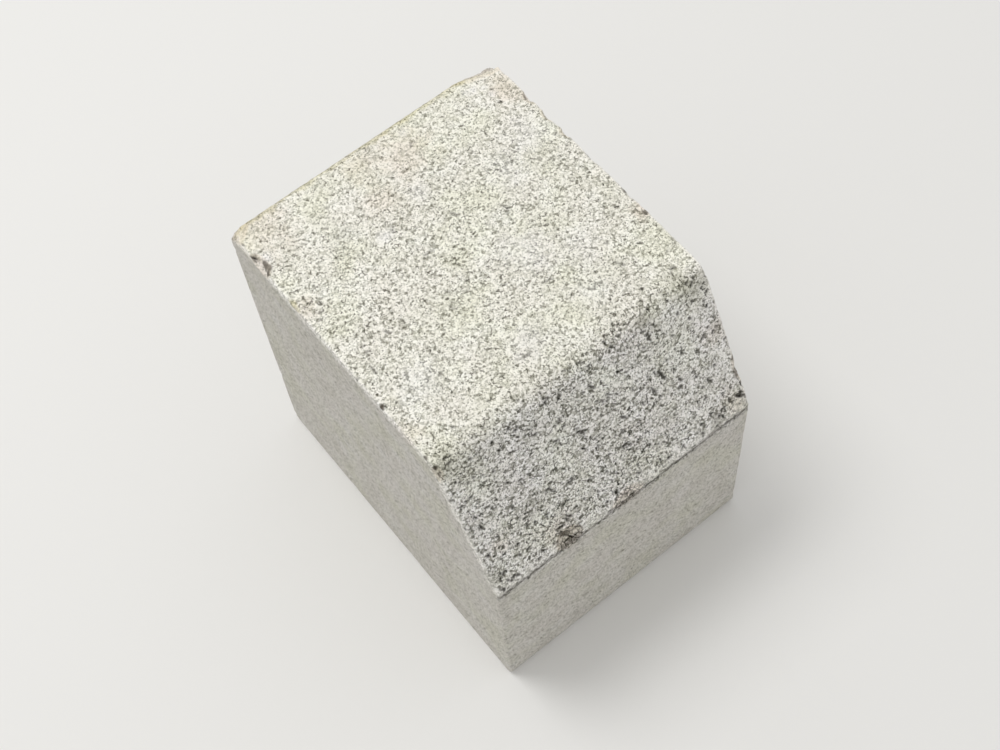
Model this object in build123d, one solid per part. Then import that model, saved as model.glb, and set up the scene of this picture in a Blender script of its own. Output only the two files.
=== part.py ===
"""One concrete kerb stone, cast as a single piece, standing on its bed.

The frame: +X runs along the row that such stones are laid in, -Y faces the road, +Y is the
back and +Z is up. The origin is the middle of the bed. All lengths are in millimetres.
"""
import os
from math import sqrt

from build123d import *

# The block
stone_length = 100.0  # along the row, from joint face to joint face
stone_depth = 127.0  # from the upright road face to the back
stone_height = 125.0  # from the bed to the flat top

# The batter: the sloping face between the top and the upright road face
batter_run = 25.0  # how far the slope leans back
batter_drop = 50.0  # how far it comes down from the top

# How far each long edge is rounded, as the mould and the years leave it
crest_radius = 8.0  # where the top rolls over into the batter
foot_radius = 3.0  # where the batter meets the upright road face
back_radius = 3.5  # along the back of the top
bed_radius = 2.0  # along both edges of the bed
joint_edge_radius = 0.8  # all round both joint faces

# The broken corner at the right end of the back edge
corner_break_along_back = 18.0  # measured along the back edge
corner_break_along_joint = 12.5  # measured along the joint face's top edge
corner_break_down = 8.0  # measured down the upright corner
corner_break_ball = 46.0  # radius of the hollow that the break left

# The smaller, rounder break at the left end of the back edge
blunt_corner_along_back = 7.0
blunt_corner_along_joint = 6.5
blunt_corner_down = 4.5
blunt_corner_ball = 30.0

# The chip out of the foot of the batter, left of the middle
foot_chip_from_left = 28.0
foot_chip_length = 8.5
foot_chip_up_batter = 4.6
foot_chip_down_face = 3.4

# The flake off the foot of the batter, about the middle
foot_flake_from_left = 50.5
foot_flake_length = 8.0
foot_flake_up_batter = 1.6
foot_flake_down_face = 2.0

# The ragged stretch of the top's right edge: a row of bites that shrink towards the road
bite_count = 3
first_bite_from_back = 21.0
bite_pitch = 8.8
first_bite_length = 5.5
bite_shrink = 0.85
bite_across_top = 1.4
bite_down_joint = 2.0

# The two chips of the left edge, one near the back and one just under the crest
left_chip_from_back = 17.0
left_chip_length = 9.0
left_chip_across_top = 2.4
left_chip_down_joint = 3.2
crest_chip_down_batter = 4.0  # from the crest line to the chip's middle, down the slope
crest_chip_length = 5.0
crest_chip_across_batter = 1.5
crest_chip_into_joint = 1.8

# The long shallow chip low on the batter's right edge
batter_chip_down_batter = 40.0
batter_chip_length = 9.0
batter_chip_across_batter = 1.1
batter_chip_into_joint = 1.5

# Places that the sizes above lead to
left, right = -stone_length / 2, stone_length / 2
road, back = -stone_depth / 2, stone_depth / 2
top = stone_height
crest_y = road + batter_run
foot_z = top - batter_drop
batter_length = sqrt(batter_run**2 + batter_drop**2)
down_batter = Vector(0, -batter_run, -batter_drop) / batter_length
into_batter = Vector(0, batter_drop, -batter_run) / batter_length


def cast_block():
    """The stone as it leaves the mould: the section drawn as one outline, rounded, and run along X."""
    corner_radii = {
        (road, 0): bed_radius,
        (back, 0): bed_radius,
        (back, top): back_radius,
        (crest_y, top): crest_radius,
        (road, foot_z): foot_radius,
    }
    with BuildPart() as block:
        with BuildSketch(Plane.YZ) as section:
            with BuildLine():
                Polyline(*corner_radii, close=True)
            make_face()
            for corner, radius in corner_radii.items():
                fillet(section.vertices().sort_by_distance(corner)[0], radius)
        extrude(amount=stone_length / 2, both=True)
        joint_faces = block.faces().filter_by(Axis.X)
        fillet(joint_faces.edges(), joint_edge_radius)
    return block.part


def arris_chip(on_edge, reach_one, reach_two, length):
    """The ball that breaks a chip out of an edge.

    Its surface passes through four points: the chip's two ends, half its length either way
    along the edge from on_edge, and the ends of its two reaches, one into each face.
    """
    half_length_squared = (length / 2) ** 2
    one, two = reach_one.normalized(), reach_two.normalized()
    towards_one = (reach_one.length**2 - half_length_squared) / (2 * reach_one.length)
    towards_two = (reach_two.length**2 - half_length_squared) / (2 * reach_two.length)
    between = one.dot(two)
    share = 1 - between**2
    offset = one * ((towards_one - between * towards_two) / share)
    offset += two * ((towards_two - between * towards_one) / share)
    radius = sqrt(offset.length**2 + half_length_squared)
    return Pos(*(on_edge + offset)) * Sphere(radius)


def corner_chip(corner, reaches, radius):
    """The ball of the given radius whose surface passes through the ends of a corner's three reaches."""
    first, second, third = (corner + reach for reach in reaches)
    plane_normal = (second - first).cross(third - first).normalized()
    if plane_normal.dot(corner - first) < 0:
        plane_normal = -plane_normal
    middle = ThreePointArc(first, second, third).arc_center
    height = sqrt(radius**2 - (first - middle).length ** 2)
    return Pos(*(middle + plane_normal * height)) * Sphere(radius)


def broken_corners():
    """The two corners at the back of the top: a large break on the right, a blunt one on the left."""
    right_reaches = (
        Vector(-corner_break_along_back, 0, 0),
        Vector(0, -corner_break_along_joint, 0),
        Vector(0, 0, -corner_break_down),
    )
    left_reaches = (
        Vector(blunt_corner_along_back, 0, 0),
        Vector(0, -blunt_corner_along_joint, 0),
        Vector(0, 0, -blunt_corner_down),
    )
    return [
        corner_chip(Vector(right, back, top), right_reaches, corner_break_ball),
        corner_chip(Vector(left, back, top), left_reaches, blunt_corner_ball),
    ]


def foot_chips():
    """The deep chip and the thin flake along the foot of the batter."""
    chips = (
        (foot_chip_from_left, foot_chip_up_batter, foot_chip_down_face, foot_chip_length),
        (foot_flake_from_left, foot_flake_up_batter, foot_flake_down_face, foot_flake_length),
    )
    return [
        arris_chip(Vector(left + from_left, road, foot_z), -down_batter * up, Vector(0, 0, -down), length)
        for from_left, up, down, length in chips
    ]


def right_edge_bites():
    """The bites out of the top's right edge, each shorter and shallower than the one behind it."""
    bites = []
    for number in range(bite_count):
        size = bite_shrink**number
        place = Vector(right, back - first_bite_from_back - bite_pitch * number, top)
        across = Vector(-bite_across_top * size, 0, 0)
        down = Vector(0, 0, -bite_down_joint * size)
        bites.append(arris_chip(place, across, down, first_bite_length * size))
    return bites


def left_edge_chips():
    """The chip near the back of the top's left edge, and the one just under the crest."""
    near_back = Vector(left, back - left_chip_from_back, top)
    under_crest = Vector(left, crest_y, top) + down_batter * crest_chip_down_batter
    return [
        arris_chip(
            near_back,
            Vector(left_chip_across_top, 0, 0),
            Vector(0, 0, -left_chip_down_joint),
            left_chip_length,
        ),
        arris_chip(
            under_crest,
            Vector(crest_chip_across_batter, 0, 0),
            into_batter * crest_chip_into_joint,
            crest_chip_length,
        ),
    ]


def batter_edge_chip():
    """The chip out of the batter's right edge, low on the slope."""
    place = Vector(right, crest_y, top) + down_batter * batter_chip_down_batter
    return arris_chip(
        place,
        Vector(-batter_chip_across_batter, 0, 0),
        into_batter * batter_chip_into_joint,
        batter_chip_length,
    )


kerb_stone = cast_block()
kerb_stone -= [
    *broken_corners(),
    *foot_chips(),
    *right_edge_bites(),
    *left_edge_chips(),
    batter_edge_chip(),
]
kerb_stone.label = "kerb_stone"

os.makedirs("parts", exist_ok=True)
export_step(kerb_stone, "parts/kerb_stone.step")
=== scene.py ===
import math
from itertools import product

import bpy
import numpy as np
from mathutils import Matrix, Vector


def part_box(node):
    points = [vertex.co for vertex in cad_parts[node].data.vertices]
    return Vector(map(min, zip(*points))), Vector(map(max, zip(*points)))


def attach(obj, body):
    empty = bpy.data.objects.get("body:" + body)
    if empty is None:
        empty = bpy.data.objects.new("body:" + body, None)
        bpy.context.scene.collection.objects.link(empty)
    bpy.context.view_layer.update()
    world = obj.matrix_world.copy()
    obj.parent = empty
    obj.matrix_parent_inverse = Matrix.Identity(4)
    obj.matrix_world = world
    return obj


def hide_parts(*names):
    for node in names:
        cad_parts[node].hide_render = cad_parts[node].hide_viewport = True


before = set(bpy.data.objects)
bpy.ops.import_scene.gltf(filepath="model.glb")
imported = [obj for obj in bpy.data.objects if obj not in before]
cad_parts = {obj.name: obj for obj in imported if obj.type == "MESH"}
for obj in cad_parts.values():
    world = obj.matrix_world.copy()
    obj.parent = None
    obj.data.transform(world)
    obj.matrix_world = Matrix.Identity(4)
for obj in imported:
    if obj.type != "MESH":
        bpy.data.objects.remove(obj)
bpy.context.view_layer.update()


# The block as it left its mould: one piece of dry-mixed concrete, pressed in steel, with a flat
# top, a steep batter along its front and an upright face below that. Its reach comes from the
# frame. Lengths in this script are millimetres until they are written to a mesh.
MILLIMETRE = 0.001
lowest, highest = (np.array(corner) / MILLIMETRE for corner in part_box("kerb_stone"))
left, front, bed = lowest
right, back, top = highest
batter_run = 25.0
batter_drop = 50.0
crest = np.array([front + batter_run, top])
foot = np.array([front, top - batter_drop])
section_corners = np.array([(front, bed), (back, bed), (back, top), crest, foot])
mould_radii = np.array([2.0, 2.0, 3.5, 8.0, 3.0])

# How finely each side of the section is divided, from the bed round to the upright face. The top
# and the batter, which the weather reached, get most of it. The sum halves evenly four times.
side_steps = (44, 48, 192, 96, 52)
rim_steps = sum(side_steps)
steps_along = 188
crowding = 0.35

# How the joint faces are divided: rings from the rim inwards, each wider than the last, whose
# points are halved after every few rings
first_ring_width = 0.5
ring_growth = 1.13
rings_before_halving = 6
halvings = 4


def stations(start, end, count):
    """Places from start to end that crowd towards both: each is its even place less a sine of it."""
    even = np.linspace(0.0, 1.0, count + 1)[:, None]
    eased = even - crowding * np.sin(2 * np.pi * even) / (2 * np.pi)
    return np.asarray(start) + (np.asarray(end) - np.asarray(start)) * eased


def ring_shares(reach):
    """How far each ring lies from the rim towards the middle, from 0 to nearly 1, over a reach in mm."""
    widths = first_ring_width * ring_growth ** np.arange(rings_before_halving * (halvings + 1))
    return np.cumsum(widths) / max(reach, np.sum(widths) * 1.04)


def joint_face(rim_numbers, rim_points, first_number):
    """The points and faces of one joint face, on rings shrunk towards its middle.

    A ring's point is the rim's point moved by the ring's share of its way to the middle. Where
    the count halves, three triangles join every two steps to the one step inside them.
    """
    middle = rim_points.mean(axis=0)
    outer, points, faces = rim_numbers, [], []
    next_number = first_number
    for number, share in enumerate(ring_shares(np.linalg.norm(rim_points - middle, axis=1).min())):
        halved = number > 0 and number % rings_before_halving == 0
        if halved:
            rim_points = rim_points[::2]
        points.append(rim_points + (middle - rim_points) * share)
        inner = next_number + np.arange(len(rim_points))
        next_number += len(rim_points)
        if halved:
            even, odd, far = outer[::2], outer[1::2], np.roll(outer[::2], -1)
            near, beyond = inner, np.roll(inner, -1)
            faces += np.stack([even, odd, near], -1).tolist()
            faces += np.stack([odd, beyond, near], -1).tolist()
            faces += np.stack([odd, far, beyond], -1).tolist()
        else:
            faces += np.stack([outer, np.roll(outer, -1), np.roll(inner, -1), inner], -1).tolist()
        outer = inner
    points.append(middle[None])
    faces += [[here, after, next_number] for here, after in zip(outer, np.roll(outer, -1))]
    return np.vstack(points), faces


def sharp_block():
    """The points and faces of the block with sharp edges: its outline carried along X, and two ends."""
    sides = zip(section_corners, np.roll(section_corners, -1, axis=0), side_steps)
    loop = np.vstack([stations(start, end, count)[:-1] for start, end, count in sides])
    along = stations([left], [right], steps_along)[:, 0]
    wall = np.column_stack([np.repeat(along, rim_steps), np.tile(loop, (len(along), 1))])
    ring = np.arange(rim_steps)
    here = (np.arange(steps_along)[:, None] * rim_steps + ring).ravel()
    after = (np.arange(steps_along)[:, None] * rim_steps + np.roll(ring, -1)).ravel()
    faces = np.stack([here, after, after + rim_steps, here + rim_steps], -1).tolist()

    right_rim = ring + steps_along * rim_steps
    right_points, right_faces = joint_face(right_rim, wall[right_rim], len(wall))
    left_points, left_faces = joint_face(ring, wall[ring], len(wall) + len(right_points))
    faces += right_faces + [face[::-1] for face in left_faces]
    return np.vstack([wall, right_points, left_points]), faces


def section_distance(y, z, radii):
    """Signed distance from the rounded section, in its own plane.

    It is the greatest of the distances from the five side lines, except in a corner's wedge,
    where it is the distance from the corner's arc centre less the arc's radius.
    """
    edges = np.roll(section_corners, -1, axis=0) - section_corners
    normals = np.column_stack([edges[:, 1], -edges[:, 0]]) / np.linalg.norm(edges, axis=1)[:, None]
    distance = np.full(y.shape, -np.inf)
    for corner, normal in zip(section_corners, normals):
        distance = np.maximum(distance, (y - corner[0]) * normal[0] + (z - corner[1]) * normal[1])
    for number, (corner, after) in enumerate(zip(section_corners, normals)):
        before, radius = normals[number - 1], radii[number]
        inset = radius / (1 + before @ after)
        across = y - corner[0] + inset * (before[0] + after[0])
        up = z - corner[1] + inset * (before[1] + after[1])
        wedge = (before[0] * up - before[1] * across >= 0) & (across * after[1] - up * after[0] >= 0)
        distance = np.where(wedge, np.hypot(across, up) - radius, distance)
    return distance


def block_distance(points, radii, end_radius):
    """Signed distance from the rounded block: section and length meet at a round edge of end_radius."""
    section = section_distance(points[:, 1], points[:, 2], radii) + end_radius
    length = np.abs(points[:, 0]) - right + end_radius
    outside = np.hypot(np.maximum(section, 0), np.maximum(length, 0))
    return np.minimum(np.maximum(section, length), 0) + outside - end_radius


def inward_lines(points, softness=7.0, reach=0.05):
    """The direction each point may slide in: down the slope of the distance from a much rounder block."""
    slopes = []
    for axis in np.eye(3) * reach:
        ahead = block_distance(points + axis, np.full(5, softness), softness)
        behind = block_distance(points - axis, np.full(5, softness), softness)
        slopes.append(behind - ahead)
    slopes = np.column_stack(slopes)
    return slopes / np.linalg.norm(slopes, axis=1)[:, None]


sharp_points, faces = sharp_block()
inwards = inward_lines(sharp_points)


# What years outdoors did to it: nibbled arrises, two corners and several chips broken off, pits
# and short cracks where grains fell out. All of it is worn out of the block.
def lattice_noise(points, cell, seed):
    """Smooth noise from 0 to 1: the eased mix of random values at the eight lattice corners round a point."""
    scaled = points / cell
    corner = np.floor(scaled).astype(np.int64)
    part = scaled - corner
    eased = part * part * (3 - 2 * part)
    total = np.zeros(len(points))
    for step in product((0, 1), repeat=3):
        x, y, z = (corner + step).T
        mixed = (x * 73856093) ^ (y * 19349663) ^ (z * 83492791) ^ (seed * 2654435761)
        mixed = ((mixed & 0xFFFFFFFF) * 2246822519) & 0xFFFFFFFF
        mixed = ((mixed ^ (mixed >> 15)) * 3266489917) & 0xFFFFFFFF
        value = ((mixed ^ (mixed >> 16)) & 0xFFFFFF) / 0xFFFFFF
        total += value * np.prod(np.where(step, eased, 1 - eased), axis=1)
    return total


def ramp(value, start, end):
    """0 below start, 1 above end and an eased climb between them."""
    part = np.clip((value - start) / (end - start), 0, 1)
    return part * part * (3 - 2 * part)


def arris_chip(on_edge, reach_one, reach_two, length):
    """Centre and radius of the ball through a chip's two ends on an edge and its reach into each face."""
    on_edge, reach_one, reach_two = (np.array(v, float) for v in (on_edge, reach_one, reach_two))
    half_squared = (length / 2) ** 2
    sizes = np.array([np.linalg.norm(reach_one), np.linalg.norm(reach_two)])
    one, two = reach_one / sizes[0], reach_two / sizes[1]
    between = one @ two
    shares = np.linalg.solve([[1, between], [between, 1]], (sizes**2 - half_squared) / (2 * sizes))
    offset = one * shares[0] + two * shares[1]
    return on_edge + offset, math.sqrt(offset @ offset + half_squared)


def corner_break(corner, reaches, radius):
    """Centre and radius of the ball of a given radius through the ends of a corner's three reaches."""
    first, second, third = (np.array(corner, float) + reach for reach in reaches)
    one, two = second - first, third - first
    normal = np.cross(one, two)
    middle = first + np.cross(one @ one * two - two @ two * one, normal) / (2 * normal @ normal)
    normal *= np.sign(normal @ (np.array(corner) - first)) / np.linalg.norm(normal)
    return middle + normal * math.sqrt(radius**2 - (first - middle) @ (first - middle)), radius


batter_length = math.hypot(batter_run, batter_drop)
down_batter = np.array([0, -batter_run, -batter_drop]) / batter_length
into_batter = np.array([0, batter_drop, -batter_run]) / batter_length
crest_line = np.array([0, *crest])
foot_line = np.array([0, *foot])

# Each break is a ball. The first, at the right back corner, is milder than the solid's, as the
# photograph shows it; the rest are the solid's own.
broken = [
    corner_break((right, back, top), ((-17.5, 0, 0), (0, -6.0, 0), (0, 0, -5.8)), 52.0),
    corner_break((left, back, top), ((7.0, 0, 0), (0, -6.5, 0), (0, 0, -4.5)), 30.0),
    arris_chip(foot_line + (left + 28.0, 0, 0), down_batter * -4.6, (0, 0, -3.4), 8.5),
    arris_chip(foot_line + (left + 50.5, 0, 0), down_batter * -1.6, (0, 0, -2.0), 8.0),
    arris_chip((left, back - 17.0, top), (2.4, 0, 0), (0, 0, -3.2), 9.0),
    arris_chip(crest_line + (left, 0, 0) + down_batter * 4.0, (1.5, 0, 0), into_batter * 1.8, 5.0),
    arris_chip(crest_line + (right, 0, 0) + down_batter * 40.0, (-1.1, 0, 0), into_batter * 1.5, 9.0),
]
bite_count = 3
first_bite_from_back = 21.0
bite_pitch = 8.8
bite_shrink = 0.85
for number in range(bite_count):
    bite = bite_shrink**number
    place = (right, back - first_bite_from_back - bite_pitch * number, top)
    broken.append(arris_chip(place, (-1.4 * bite, 0, 0), (0, 0, -2.0 * bite), 5.5 * bite))


def worn_block(points):
    """Signed distance from the worn block: the rounded block less the balls that broke out of it.

    Where two surfaces meet, the greater of the two distances is softened across the crease.
    """
    distance = block_distance(points, worn_radii, joint_edge_radius)
    for centre, radius in broken:
        inside = radius - np.linalg.norm(points - centre, axis=1) + fracture_grain
        gap = distance - inside
        distance = (distance + inside + np.sqrt(gap * gap + crease**2)) / 2
    return distance


crease = 0.2
nibbles = ramp(lattice_noise(sharp_points, 2.6, 1), 0.66, 0.9)
arris_crumbs = lattice_noise(sharp_points, 1.3, 2)
long_wear = lattice_noise(sharp_points, 14.0, 9)
joint_edge_radius = 0.35 + 0.55 * arris_crumbs + 1.2 * nibbles
worn_radii = mould_radii[:, None] - 0.5 + (0.5 * arris_crumbs + 0.6 * long_wear)[None, :]
fracture_grain = 0.7 * (lattice_noise(sharp_points, 2.2, 3) - 0.5)
fracture_grain += 0.5 * (lattice_noise(sharp_points, 1.1, 4) - 0.5)

# Each point slides in by its distance from the worn block, often enough to come to rest on it
slide_steps = 16
depth = np.zeros(len(sharp_points))
for _ in range(slide_steps):
    depth += worn_block(sharp_points + inwards * depth[:, None])
depth = np.maximum(depth, 0)
worn_points = sharp_points + inwards * depth[:, None]

# How weathered a point is: fully on the top and the batter, fading out just past their edges,
# because the bed, the back and the joint faces were never open to the weather
from_end = right - np.abs(worn_points[:, 0])
below_top = np.minimum(top - worn_points[:, 2], np.abs((worn_points - crest_line) @ into_batter))
on_front_side = (worn_points[:, 2] > foot[1] - 4.0) & (worn_points[:, 1] < crest[0] + 4.0)
below_skin = np.where(on_front_side, below_top, top - worn_points[:, 2])
fading = 2.5 * lattice_noise(sharp_points, 4.0, 11)
weathered = 1 - ramp(below_skin, 0.6 + fading, 3.0 + fading)


def over_top(x, way):
    """A point on the top or batter, by x and the way from the back edge forward and over the crest."""
    beyond = way - (back - crest[0])
    return np.array([x, back - way, top]) if beyond < 0 else crest_line + (x, 0, 0) + down_batter * beyond


# Pits and short cracks seen in the photograph: from x and way to x and way, then half the width
seen_on_top = (
    (-43.2, 39.3, -43.2, 39.3, 0.75), (-45.6, 41.7, -44.0, 41.8, 0.4), (-42.4, 51.8, -42.4, 51.8, 0.55),
    (-34.3, 59.1, -33.3, 60.4, 0.45), (-42.9, 60.9, -41.4, 61.4, 0.4), (-44.3, 65.8, -44.4, 68.4, 0.45),
    (-14.6, 64.6, -14.4, 66.3, 0.4), (-8.3, 63.7, -8.3, 63.7, 0.6), (-11.4, 31.3, -12.3, 33.9, 0.35),
    (-30.9, 80.5, -29.4, 80.1, 0.35), (-9.5, 91.3, -6.8, 91.6, 0.4), (-10.0, 45.8, -5.6, 46.4, 0.3),
    (10.3, 12.2, 11.2, 10.9, 0.4), (10.5, 18.2, 10.5, 18.2, 0.5), (5.2, 39.0, 6.3, 41.3, 0.45),
    (33.4, 34.3, 33.4, 34.3, 0.55), (37.6, 41.0, 37.6, 41.0, 0.6), (18.3, 46.8, 19.2, 48.8, 0.4),
    (19.2, 48.8, 17.5, 50.5, 0.45), (10.6, 49.2, 10.6, 49.2, 0.5), (19.6, 86.0, 20.4, 87.0, 0.4),
    (20.4, 87.0, 22.3, 85.8, 0.4), (11.0, 75.8, 13.7, 76.3, 0.4), (40.2, 83.2, 41.6, 84.3, 0.35),
    (31.0, 84.0, 32.5, 86.5, 0.35), (43.8, 69.3, 43.8, 69.3, 0.5), (47.2, 42.3, 47.2, 42.3, 0.5),
)
seen_on_crest = (
    (10.0, 100.5, 10.0, 100.5, 0.5), (11.8, 102.5, 12.0, 104.0, 0.45), (2.0, 103.2, 3.5, 104.7, 0.45),
    (28.5, 102.6, 28.5, 102.6, 0.6), (-18.7, 101.5, -18.7, 101.5, 0.6), (-31.5, 101.9, -31.5, 101.9, 0.5),
    (-9.7, 102.7, -9.7, 102.7, 0.45), (-38.5, 102.6, -38.5, 102.6, 0.5), (-1.3, 103.8, -1.3, 103.8, 0.5),
)
seen_on_batter = (
    (-6.3, 124.6, -4.9, 125.2, 0.55), (-4.9, 125.2, -5.3, 126.5, 0.5), (-23.0, 135.8, -21.6, 135.5, 0.45),
    (-21.6, 135.5, -20.9, 137.0, 0.4), (-15.5, 138.3, -14.3, 138.2, 0.45), (-29.7, 143.0, -29.7, 143.0, 0.6),
    (-32.4, 139.0, -32.4, 139.0, 0.5), (-9.4, 142.7, -9.4, 142.7, 0.55), (-46.0, 112.0, -46.0, 112.0, 0.5),
    (-46.0, 120.3, -46.0, 120.3, 0.5), (-37.8, 116.0, -37.8, 116.0, 0.5), (-46.3, 151.0, -46.3, 151.0, 0.55),
    (-24.7, 150.9, -22.2, 151.0, 0.5), (-20.8, 149.5, -20.2, 150.9, 0.45), (-23.7, 153.3, -21.4, 154.8, 0.5),
    (24.6, 124.8, 25.7, 128.4, 0.65), (20.5, 128.7, 21.4, 130.5, 0.5), (23.0, 123.9, 23.4, 125.0, 0.4),
    (14.7, 124.2, 14.7, 124.2, 0.6), (29.5, 134.7, 29.5, 134.7, 0.7), (8.0, 130.0, 9.5, 131.4, 0.45),
    (2.8, 119.4, 2.8, 119.4, 0.6), (2.3, 112.8, 3.5, 114.3, 0.5), (13.0, 115.2, 13.0, 115.2, 0.5),
    (4.8, 140.2, 7.0, 140.0, 0.5), (6.8, 134.5, 6.8, 134.5, 0.5), (12.5, 136.0, 12.5, 136.0, 0.5),
    (47.0, 152.3, 48.5, 153.5, 0.8),
)
cracks = [
    (over_top(x, way), over_top(end_x, end_way), wide)
    for x, way, end_x, end_way, wide in seen_on_top + seen_on_crest + seen_on_batter
]
draw = np.random.default_rng(7)
exposed = sharp_points[weathered > 0.9]
on_batter = exposed[exposed[:, 1] < crest[0]]
for pool, count, narrowest, widest in ((exposed, 80, 0.35, 0.5), (on_batter, 200, 0.38, 0.58)):
    chosen = pool[draw.choice(len(pool), count, replace=False)]
    turned = draw.normal(0, 0.5, (count, 3))
    cracks += list(zip(chosen, chosen + turned, draw.uniform(narrowest, widest, count)))

# Each pit is also painted dark, partly for the dirt in it and partly as painted shade inside it
pitted = np.zeros(len(sharp_points))
pit_dirt_and_shade = np.zeros(len(sharp_points))
for start, end, wide in cracks:
    run = end - start
    part = np.clip((sharp_points - start) @ run / max(run @ run, 1e-9), 0, 1)
    away = np.linalg.norm(sharp_points - start - part[:, None] * run, axis=1) / wide
    pitted = np.maximum(pitted, 0.8 * wide * (1 - ramp(away, 0.3, 1.4)))
    pit_dirt_and_shade = np.maximum(pit_dirt_and_shade, 1 - ramp(away, 0.55, 1.35))

near_crest = 1 - ramp(np.hypot(worn_points[:, 1] - crest[0], worn_points[:, 2] - top), 2.0, 6.5)
sand = 0.10 * lattice_noise(sharp_points, 1.7, 5)
sand += (0.16 + 0.12 * near_crest) * lattice_noise(sharp_points, 1.05, 6)
swell = 0.25 * lattice_noise(sharp_points, 26.0, 8)
stone_points = worn_points + inwards * (pitted + sand * weathered + swell)[:, None]

# The marks on its faces, each a share from 0 to 1 of every point, ragged by two sizes of noise
ragged = 0.8 * (lattice_noise(sharp_points, 3.4, 21) - 0.5)
ragged += 0.7 * (lattice_noise(sharp_points, 1.3, 22) - 0.5)


def marks(places, softness):
    """The share of round marks, each with its x, way, reach and strength, eased across the softness."""
    share = np.zeros(len(sharp_points))
    for x, way, reach, strength in places:
        away = np.linalg.norm(sharp_points - over_top(x, way), axis=1) / reach + ragged
        share = np.maximum(share, strength * (1 - ramp(away, 1 - softness, 1 + softness)))
    return share


fracture = np.zeros(len(worn_points))
for centre, radius in broken:
    from_wall = np.abs(np.linalg.norm(worn_points - centre, axis=1) - radius)
    fracture = np.maximum(fracture, 1 - ramp(from_wall, 0.5, 1.1))

# Soil, and at the joint edges dark spots that are painted shade in nibbled notches and in the joint's gap
soil_and_notch_shade = marks((
    (-48.8, 17.8, 1.5, 0.8), (-48.4, 19.4, 1.2, 0.75), (-49.6, 13.2, 1.4, 0.7), (-50.0, 20.6, 1.2, 0.8),
    (-50.0, 78.0, 1.0, 1.0), (-50.0, 98.5, 0.9, 0.8), (-50.0, 103.5, 1.1, 0.9), (-50.0, 106.8, 0.8, 0.8),
    (50.0, 20.0, 1.0, 0.6), (50.0, 29.5, 1.0, 0.5), (50.0, 66.5, 0.9, 0.7), (49.4, 76.6, 0.9, 0.7),
    (49.8, 138.0, 1.0, 0.8), (49.3, 144.5, 1.6, 0.6), (-22.3, 156.6, 1.6, 0.7), (0.5, 156.6, 1.2, 0.4),
), 0.35)
smear = marks((
    (43.0, 105.0, 3.6, 0.55), (47.5, 105.0, 3.0, 0.6), (25.5, 104.8, 2.2, 0.7), (-46.5, 104.5, 4.0, 0.5),
    (-41.0, 109.0, 5.0, 0.35), (-29.0, 61.4, 1.1, 0.8), (48.0, 124.5, 2.0, 0.6), (-20.0, 112.5, 4.0, 0.35),
    (-26.0, 138.5, 3.0, 0.35), (38.0, 155.5, 3.4, 0.6), (8.0, 144.0, 2.0, 0.4), (41.5, 134.0, 2.4, 0.4),
    (-25.0, 24.5, 3.5, 0.3), (-49.0, 130.0, 4.0, 0.3), (-48.5, 150.0, 4.0, 0.45), (40.0, 100.0, 3.0, 0.3),
), 0.7)
# Pale lime bloom, and in the last four a painted highlight along the lip of the broken right back corner
bloom_and_lip_highlight = marks((
    (-14.6, 33.0, 2.2, 1.0), (-47.0, 16.0, 1.6, 1.0), (27.0, 37.5, 5.0, 0.5), (41.0, 31.5, 6.5, 0.6),
    (2.0, 27.5, 3.0, 0.5), (-36.0, 79.0, 5.5, 0.55), (-4.5, 88.0, 5.0, 0.6), (13.0, 64.0, 6.5, 0.55),
    (27.0, 74.0, 4.0, 0.4), (21.0, 88.0, 4.0, 0.5), (11.5, 6.2, 1.5, 0.7), (-44.0, 80.0, 3.0, 0.4),
    (35.5, 6.8, 1.3, 1.0), (38.5, 7.2, 1.3, 1.0), (41.3, 9.0, 1.3, 1.0), (41.5, 12.5, 1.3, 0.9),
), 0.8)
rust_tint = marks((
    (7.0, 12.5, 8.0, 0.7), (-5.0, 8.0, 6.0, 0.6), (-7.5, 21.5, 4.5, 0.6), (-42.0, 6.5, 8.0, 0.6),
    (46.0, 12.5, 5.0, 0.8), (48.5, 75.0, 2.8, 0.8), (-49.0, 89.0, 4.0, 0.5), (-47.0, 38.0, 3.5, 0.5),
    (45.5, 154.0, 4.5, 0.6), (-24.0, 151.5, 5.0, 0.6), (-42.5, 141.0, 3.0, 0.6), (46.0, 125.0, 4.0, 0.5),
), 0.8)
from_back = back - worn_points[:, 1]
moss = 0.8 * (1 - ramp(from_back + 2.6 * ragged, 1.2, 4.2)) * weathered
moss_spots = marks(((-50.0, 34.5, 1.3, 0.9), (-50.0, 37.0, 1.0, 0.7), (-45.8, 79.0, 2.0, 0.2)), 0.6)
moss = np.maximum(moss, moss_spots)
ground_line = np.exp(-(((worn_points[:, 2] - (foot[1] - 2.6) + 1.0 * ragged) / 1.1) ** 2))
soil_and_notch_shade = np.maximum(soil_and_notch_shade, 0.75 * ground_line * (worn_points[:, 1] < front + 1.0))
above_foot = (foot_line - worn_points) @ down_batter
foot_rim = ramp(above_foot, -0.5, 0.3) * (1 - ramp(above_foot + ragged, 1.2, 3.4))
# A pale rim along the joint edges and the foot: partly wear, partly painted highlight where these edges catch
# the light
arris_wear_and_highlight = np.maximum(1 - ramp(from_end, 0.3, 1.1), 0.8 * foot_rim) * weathered

lift = np.array([0, 0, 0.05])
upward = block_distance(worn_points + lift, mould_radii, 1.0)
upward -= block_distance(worn_points - lift, mould_radii, 1.0)
upward = np.clip(upward / (2 * lift[2]), 0, 1)

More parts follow.
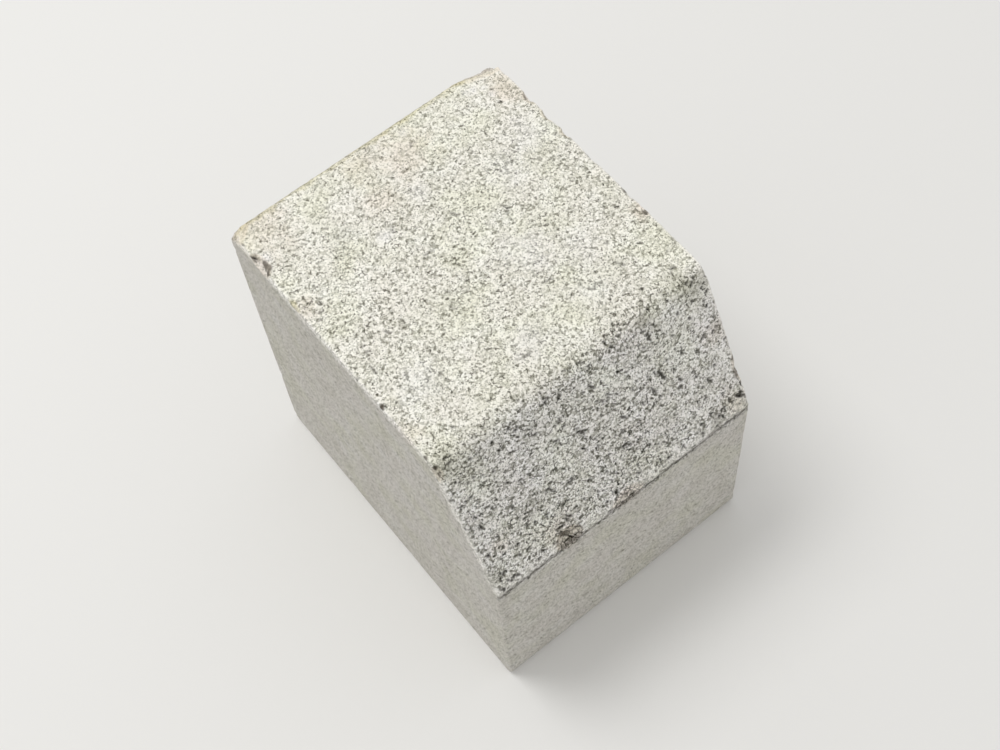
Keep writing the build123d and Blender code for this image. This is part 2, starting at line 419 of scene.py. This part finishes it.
# How strongly the gaps between the grains are darkened, as a power of their tone, by dirt and by
# painted shade between the grains: most low on the steep batter and along the crest, less to its right and
# on the rain-washed top, still less by the back edge and where the corners broke, and least on the faces that
# were never exposed
steep = 1 - ramp(upward, 0.5, 0.9)
low_down = 1 - ramp(above_foot, 5.0, 30.0)
gap_dirt_and_shade_power = np.interp(upward, (0.45, 1.0), (1.4, 0.9)) + 0.15 * near_crest
gap_dirt_and_shade_power += steep * (0.15 * low_down - 0.35 * ramp(worn_points[:, 0], 15.0, 42.0))
gap_dirt_and_shade_power -= 0.2 * (1 - ramp(from_back, 10.0, 30.0)) + 0.3 * fracture * (from_back < 20.0)
unexposed_power = 0.45
gap_dirt_and_shade_power = unexposed_power + (gap_dirt_and_shade_power - unexposed_power) * weathered
crumbling_reach = 8.0
by_foot = (np.abs(above_foot) < crumbling_reach) & (worn_points[:, 1] < front + crumbling_reach)
crumbled = fracture * by_foot

# The pits of the top are painted less dark than those of the batter: they hold less dirt and less painted
# shade
pit_dirt_and_shade *= 1 - 0.35 * ramp(upward, 0.5, 0.95)

stone_mesh = bpy.data.meshes.new("kerb_stone_weathered")
stone_mesh.from_pydata((stone_points * MILLIMETRE).tolist(), [], faces)
stone_mesh.polygons.foreach_set("use_smooth", np.ones(len(faces), bool))
shares = {
    "weathered": weathered, "upward": upward, "pit_dirt_and_shade": pit_dirt_and_shade, "fracture": fracture, "arris_wear_and_highlight": arris_wear_and_highlight,
    "soil_and_notch_shade": soil_and_notch_shade, "smear": smear, "bloom_and_lip_highlight": bloom_and_lip_highlight, "rust_tint": rust_tint, "moss": moss,
    "gap_dirt_and_shade_power": gap_dirt_and_shade_power, "crumbled": crumbled,
}
for name, values in shares.items():
    attribute = stone_mesh.attributes.new(name, "FLOAT", "POINT")
    attribute.data.foreach_set("value", values.astype(np.float32))
stone_mesh.update()
stone = bpy.data.objects.new("kerb_stone_weathered", stone_mesh)
bpy.context.scene.collection.objects.link(stone)
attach(stone, "root")
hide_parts("kerb_stone")


# The finish: weathered cast concrete. The cement skin has gone, so the eye meets pale cream
# sand of under 1 mm with dark gaps between the grains, partly dirt and partly painted shade. Rain keeps the
# top clean, while the batter holds its dirt and is painted with deeper shade between its grains, so the same
# grains show there with more contrast.
def linear(hex_colour):
    """An sRGB hex colour as the linear colour that a shader takes."""
    parts = [int(hex_colour[place : place + 2], 16) / 255 for place in (1, 3, 5)]
    return [part / 12.92 if part <= 0.04045 else ((part + 0.055) / 1.055) ** 2.4 for part in parts] + [1.0]


def add(material, kind, inputs=None, stops=(), **settings):
    """Adds a node with its settings. An input takes a value or a socket to link; stops fill a ramp."""
    node = material.node_tree.nodes.new(kind)
    for name, value in settings.items():
        setattr(node, name, value)
    for name, value in (inputs or {}).items():
        if isinstance(value, bpy.types.NodeSocket):
            material.node_tree.links.new(value, node.inputs[name])
        else:
            node.inputs[name].default_value = value
    for number, (place, colour) in enumerate(stops):
        if number >= len(node.color_ramp.elements):
            node.color_ramp.elements.new(place)
        node.color_ramp.elements[number].position = place
        node.color_ramp.elements[number].color = linear(colour)
    return node


concrete = bpy.data.materials.new("weathered cast concrete")
concrete.use_nodes = True
concrete.node_tree.nodes.clear()
place = add(concrete, "ShaderNodeTexCoord").outputs["Object"]
in_mm = add(
    concrete, "ShaderNodeVectorMath", {0: place, "Scale": 1 / MILLIMETRE}, operation="SCALE"
).outputs[0]
share = {name: add(concrete, "ShaderNodeAttribute", attribute_name=name).outputs["Fac"] for name in shares}

# The grains: sand of about 0.8 mm, and sand of 0.4 mm between, stirred out of their lattice.
# Finer grains than these are too small to show.
coarse_sand = 0.78
fine_sand = 0.4
stir = add(concrete, "ShaderNodeTexNoise", {"Vector": in_mm, "Scale": 1.6, "Detail": 2.0}).outputs["Color"]
loose = add(
    concrete, "ShaderNodeVectorMath", {0: stir, 1: (0.5, 0.5, 0.5), 2: in_mm}, operation="MULTIPLY_ADD"
).outputs[0]
coarse = add(concrete, "ShaderNodeTexVoronoi", {"Vector": loose, "Scale": 1 / coarse_sand})
fine = add(concrete, "ShaderNodeTexVoronoi", {"Vector": loose, "Scale": 1 / fine_sand})
coarse_pick = add(concrete, "ShaderNodeSeparateColor", {"Color": coarse.outputs["Color"]}).outputs["Red"]
fine_pick = add(concrete, "ShaderNodeSeparateColor", {"Color": fine.outputs["Color"]}).outputs["Red"]
pore = add(concrete, "ShaderNodeTexNoise", {"Vector": loose, "Scale": 2.0, "Detail": 1.0}).outputs["Fac"]
# Besides each grain's own tone, two of these are painted shade: darker towards each coarse grain's edge, as
# over a dome, and dark pores, partly dirt and partly painted shade inside them
grain_tones = (
    (coarse_pick, ((0.0, "#9a9a93"), (0.16, "#dededa"), (0.45, "#ffffff"))),
    (fine_pick, ((0.0, "#a0a09a"), (0.22, "#e9e9e7"), (0.52, "#ffffff"))),
    (coarse.outputs["Distance"], ((0.55, "#ffffff"), (0.92, "#c9c9c2"))),
    (pore, ((0.28, "#55524b"), (0.34, "#ffffff"))),
)
grains = linear("#ffffff")
for value, stops in grain_tones:
    tone = add(concrete, "ShaderNodeValToRGB", {"Fac": value}, stops).outputs["Color"]
    grains = add(
        concrete, "ShaderNodeMix", {0: 1.0, 6: grains, 7: tone}, data_type="RGBA", blend_type="MULTIPLY"
    ).outputs[2]

# Cracks that half circle the larger grains, in patches and where the foot crumbled
larger_grain = 2.3
crack = add(
    concrete, "ShaderNodeTexVoronoi", {"Vector": loose, "Scale": 1 / larger_grain}, feature="DISTANCE_TO_EDGE"
).outputs["Distance"]
crack_shade = add(
    concrete, "ShaderNodeValToRGB", {"Fac": crack}, ((0.025, "#6a675f"), (0.07, "#ffffff"))
).outputs["Color"]
crack_patch = add(
    concrete, "ShaderNodeTexNoise", {"Vector": in_mm, "Scale": 0.6, "Detail": 1.0}
).outputs["Fac"]
crack_patch = add(
    concrete, "ShaderNodeMapRange", {"Value": crack_patch, "From Min": 0.58, "From Max": 0.66}
).outputs["Result"]
crack_patch = add(
    concrete, "ShaderNodeMath", {0: crack_patch, 1: share["crumbled"]}, operation="MAXIMUM"
).outputs[0]
grains = add(
    concrete, "ShaderNodeMix", {0: crack_patch, 6: grains, 7: crack_shade}, data_type="RGBA",
    blend_type="MULTIPLY",
).outputs[2]

# Dirt and painted shade in the gaps: the grains' tone raised to its power
grains = add(concrete, "ShaderNodeGamma", {"Color": grains, "Gamma": share["gap_dirt_and_shade_power"]}).outputs["Color"]

# Broad, faint mottling by old damp and dust, and the top painted warmer than the steep faces, whose cooler
# tone is painted skylight shade
mottle = add(
    concrete, "ShaderNodeTexNoise", {"Vector": in_mm, "Scale": 1 / 9, "Detail": 4.0, "Roughness": 0.6}
).outputs["Fac"]
tint = add(concrete, "ShaderNodeTexNoise", {"Vector": in_mm, "Scale": 1 / 16, "Detail": 3.0}).outputs["Fac"]
broad_tones = (
    (mottle, ((0.32, "#f2f1ed"), (0.5, "#fbfaf8"), (0.68, "#ffffff"))),
    (tint, ((0.36, "#fffeff"), (0.5, "#ffffff"), (0.64, "#fefffa"))),
    # The top warmer and the steep faces cooler: painted skylight shade
    (share["upward"], ((0.45, "#fffdfb"), (0.95, "#f9f7ee"))),
    # Faces never open to the weather are painted darker: painted shade, as they stood in shade when laid
    (share["weathered"], ((0.0, "#d4d3cf"), (1.0, "#ffffff"))),
)
surface = grains
for value, stops in broad_tones:
    tone = add(concrete, "ShaderNodeValToRGB", {"Fac": value}, stops).outputs["Color"]
    surface = add(
        concrete, "ShaderNodeMix", {0: 1.0, 6: surface, 7: tone}, data_type="RGBA", blend_type="MULTIPLY"
    ).outputs[2]

# The marks, each with its colour, how it mixes and how strongly
mark_tones = (
    ("arris_wear_and_highlight", "#fdfaf2", "MIX", 0.35), ("fracture", "#f3ebe1", "MULTIPLY", 0.6),
    ("rust_tint", "#f3e8e0", "MULTIPLY", 0.6), ("bloom_and_lip_highlight", "#f1f0f8", "MIX", 0.22),
    ("smear", "#b4b3aa", "MULTIPLY", 0.8), ("moss", "#bfb766", "MULTIPLY", 0.5),
    # The dark pits here are partly dirt and partly painted shade inside them
    ("pit_dirt_and_shade", "#3d3a33", "MULTIPLY", 0.9), ("soil_and_notch_shade", "#4a4034", "MULTIPLY", 0.95),
)
for name, colour, blend, strength in mark_tones:
    factor = add(concrete, "ShaderNodeMath", {0: share[name], 1: strength}, operation="MULTIPLY").outputs[0]
    surface = add(
        concrete, "ShaderNodeMix", {0: factor, 6: surface, 7: linear(colour)}, data_type="RGBA",
        blend_type=blend,
    ).outputs[2]

# Relief finer than the mesh: each grain stands as a low dome and pores sink, less so where the
# mould left a smooth face
relief = add(concrete, "ShaderNodeTexNoise", {"Vector": in_mm, "Scale": 2.2, "Detail": 3.0}).outputs["Fac"]
pore_depth = add(
    concrete, "ShaderNodeMapRange",
    {"Value": pore, "From Min": 0.26, "From Max": 0.38, "To Min": 0.8, "To Max": 0.0},
).outputs["Result"]
relief_parts = ((coarse.outputs["Distance"], -0.8), (fine.outputs["Distance"], -0.4), (pore_depth, -1.0))
for height, share_of_it in relief_parts:
    relief = add(
        concrete, "ShaderNodeMath", {0: height, 1: share_of_it, 2: relief}, operation="MULTIPLY_ADD"
    ).outputs[0]
relief_strength = add(
    concrete, "ShaderNodeMapRange", {"Value": share["weathered"], "To Min": 0.35, "To Max": 1.0}
).outputs["Result"]
bump = add(
    concrete, "ShaderNodeBump", {"Height": relief, "Strength": relief_strength, "Distance": 0.16 * MILLIMETRE}
).outputs["Normal"]
shader = add(
    concrete, "ShaderNodeBsdfPrincipled",
    {"Base Color": surface, "Roughness": 0.92, "Specular IOR Level": 0.25, "Normal": bump},
)
add(concrete, "ShaderNodeOutputMaterial", {"Surface": shader.outputs["BSDF"]})
stone_mesh.materials.append(concrete)


# The studio: a plain pale floor that the stone stands on.
floor_reach = 3.0
floor_mesh = bpy.data.meshes.new("floor")
floor_corners = [(x * floor_reach, y * floor_reach, 0) for x, y in ((-1, -1), (1, -1), (1, 1), (-1, 1))]
floor_mesh.from_pydata(floor_corners, [], [(0, 1, 2, 3)])
floor = bpy.data.objects.new("floor", floor_mesh)
bpy.context.scene.collection.objects.link(floor)
plain = bpy.data.materials.new("pale floor")
plain.use_nodes = True
plain.node_tree.nodes.clear()
floor_shader = add(plain, "ShaderNodeBsdfDiffuse", {"Color": linear("#e4e3e0")})
add(plain, "ShaderNodeOutputMaterial", {"Surface": floor_shader.outputs["BSDF"]})
floor_mesh.materials.append(plain)

# The light: one broad soft lamp high behind the stone, and an even pale surround. Together they
# show the top brighter than the batter, as in the photograph.
lamp_data = bpy.data.lights.new("sky panel", "AREA")
lamp_data.shape = "DISK"
lamp_data.size = 0.6
lamp_data.energy = 7.35
lamp = bpy.data.objects.new("sky panel", lamp_data)
lamp.location = (-0.25, 0.45, 1.3)
lamp.rotation_euler = (-lamp.location).to_track_quat("-Z", "Y").to_euler()
bpy.context.scene.collection.objects.link(lamp)

world = bpy.data.worlds.new("pale surround")
world.use_nodes = True
bpy.context.scene.world = world
world.node_tree.nodes.clear()
rays = add(world, "ShaderNodeLightPath").outputs
seen = add(world, "ShaderNodeMath", {0: rays["Is Camera Ray"], 1: rays["Is Glossy Ray"]}, operation="MAXIMUM")
seen = add(
    world, "ShaderNodeMath", {0: seen.outputs[0], 1: rays["Is Transmission Ray"]}, operation="MAXIMUM"
).outputs[0]
strength = add(world, "ShaderNodeMapRange", {"Value": seen, "To Min": 0.72, "To Max": 0.85}).outputs["Result"]
surround = add(world, "ShaderNodeBackground", {"Color": (1, 1, 1, 1), "Strength": strength})
add(world, "ShaderNodeOutputWorld", {"Surface": surround.outputs["Background"]})

# The camera stands where the photograph was taken from, in front of the batter and above it,
# looking down on the stone from its left. It is turned the shortest way to the stone's middle,
# and its lens is 1.6 times as long as the photograph's, so that the one stone fills the frame.
photo_width = 1000.0
photo_focal_pixels = 1020.0
longer_lens = 1.6
sensor_width = 36.0
camera_place = Vector((-133.7, -211.0, 531.1)) * MILLIMETRE
camera_aim = Vector((0.0, 0.0, 62.5)) * MILLIMETRE
camera_roll = math.radians(-6.84)
camera_data = bpy.data.cameras.new("photograph")
camera_data.sensor_width = sensor_width
camera_data.lens = longer_lens * photo_focal_pixels / photo_width * sensor_width
camera_data.clip_start = 0.01
camera = bpy.data.objects.new("photograph", camera_data)
look = (camera_aim - camera_place).to_track_quat("-Z", "Y").to_matrix().to_4x4()
camera.matrix_world = Matrix.Translation(camera_place) @ look @ Matrix.Rotation(camera_roll, 4, "Z")
bpy.context.scene.collection.objects.link(camera)
bpy.context.scene.camera = camera

bpy.context.scene.view_settings.view_transform = "Standard"
